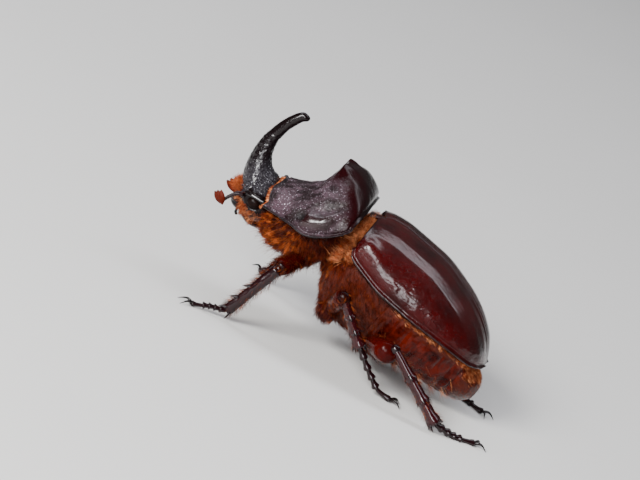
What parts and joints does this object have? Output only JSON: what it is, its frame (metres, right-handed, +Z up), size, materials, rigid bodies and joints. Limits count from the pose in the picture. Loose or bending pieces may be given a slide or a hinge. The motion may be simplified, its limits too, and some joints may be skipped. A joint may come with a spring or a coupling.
{
  "type": "rhinoceros beetle",
  "caption": "Male European rhinoceros beetle standing head up, with a curved head horn, hollowed pronotum, closed wing cases and a furred underside.",
  "frame": {"origin": "on the floor, under the centre of the whole beetle's box", "axes": "+Z up, head towards -X, the beetle's left side towards -Y"},
  "size_m": [0.0424, 0.0292, 0.0234],
  "materials": {
    "wing_case": "glossy dark mahogany chitin, finely punctate",
    "pronotum": "dark brown chitin, smooth behind and rugose in the hollow",
    "horn": "black chitin, coarsely punctate at the base",
    "leg": "glossy dark red-brown chitin",
    "underside": "chitin under a coat of orange-brown hair",
    "eye": "glossy black",
    "antenna_club": "reddish brown plates"
  },
  "bodies": {
    "root": {"abdomen": "underside", "antenna_club_l": "antenna_club", "antenna_club_r": "antenna_club", "antenna_l": "leg", "antenna_r": "leg", "claws_fore_l": "horn", "claws_fore_r": "horn", "claws_hind_l": "horn", "claws_hind_r": "horn", "claws_mid_l": "horn", "claws_mid_r": "horn", "coxa_fore_l": "leg", "coxa_fore_r": "leg", "coxa_hind_l": "leg", "coxa_hind_r": "leg", "coxa_mid_l": "leg", "coxa_mid_r": "leg", "elytron_l": "wing_case", "elytron_r": "wing_case", "eye_l": "eye", "eye_r": "eye", "femur_fore_l": "leg", "femur_fore_r": "leg", "femur_hind_l": "leg", "femur_hind_r": "leg", "femur_mid_l": "leg", "femur_mid_r": "leg", "head": "horn", "horn": "horn", "mouthparts": "leg", "pronotum": "pronotum", "prothorax": "underside", "pterothorax": "underside", "scutellum": "wing_case", "tail_segment": "underside", "tarsus_fore_l": "leg", "tarsus_fore_r": "leg", "tarsus_hind_l": "leg", "tarsus_hind_r": "leg", "tarsus_mid_l": "leg", "tarsus_mid_r": "leg", "tibia_fore_l": "leg", "tibia_fore_r": "leg", "tibia_hind_l": "leg", "tibia_hind_r": "leg", "tibia_mid_l": "leg", "tibia_mid_r": "leg"}
  },
  "joints": []
}
